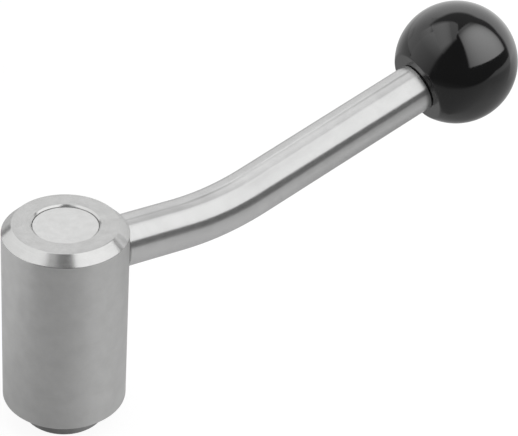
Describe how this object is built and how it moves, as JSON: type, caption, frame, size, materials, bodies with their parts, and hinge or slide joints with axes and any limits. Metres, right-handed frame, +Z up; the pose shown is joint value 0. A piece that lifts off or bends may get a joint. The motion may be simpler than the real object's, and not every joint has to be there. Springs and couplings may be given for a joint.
{
  "type": "adjustable clamping lever",
  "caption": "Steel hub with a bent round lever and a ball knob; lifts off a toothed threaded insert to be set at another angle.",
  "frame": {"origin": "middle of the threaded insert's lower end face, at the mouth of its thread", "axes": "+Z up the clamping axis from the thread's mouth to the hub's top, +X from the hub along the lever towards the ball knob"},
  "size_m": [0.1135, 0.025, 0.0696],
  "materials": {
    "insert_steel": "turned stainless steel, slightly dulled",
    "screw_steel": "satin faced stainless steel",
    "spring_steel": "drawn spring wire",
    "hub_steel": "fine turned stainless steel, matt",
    "rod_steel": "polished stainless steel",
    "bush_brass": "machined brass",
    "knob_plastic": "black thermoset, high gloss"
  },
  "bodies": {
    "insert": {"threaded_insert": "insert_steel", "retaining_screw": "screw_steel"},
    "spring": {"compression_spring": "spring_steel"},
    "lever": {"hub": "hub_steel", "lever_rod": "rod_steel", "knob_bush": "bush_brass", "ball_knob": "knob_plastic"}
  },
  "joints": [
    {"name": "lift", "type": "slide", "parent": "insert", "child": "spring", "axis": [0, 0, 1], "range_m": [0, 0.005], "stiffness_N_per_m": 1900, "springref_m": -0.005, "deforming": ["compression_spring"]},
    {"name": "index_turn", "type": "hinge", "parent": "spring", "child": "lever", "pos_m": [0, 0, 0], "axis": [0, 0, 1], "continuous": true}
  ]
}
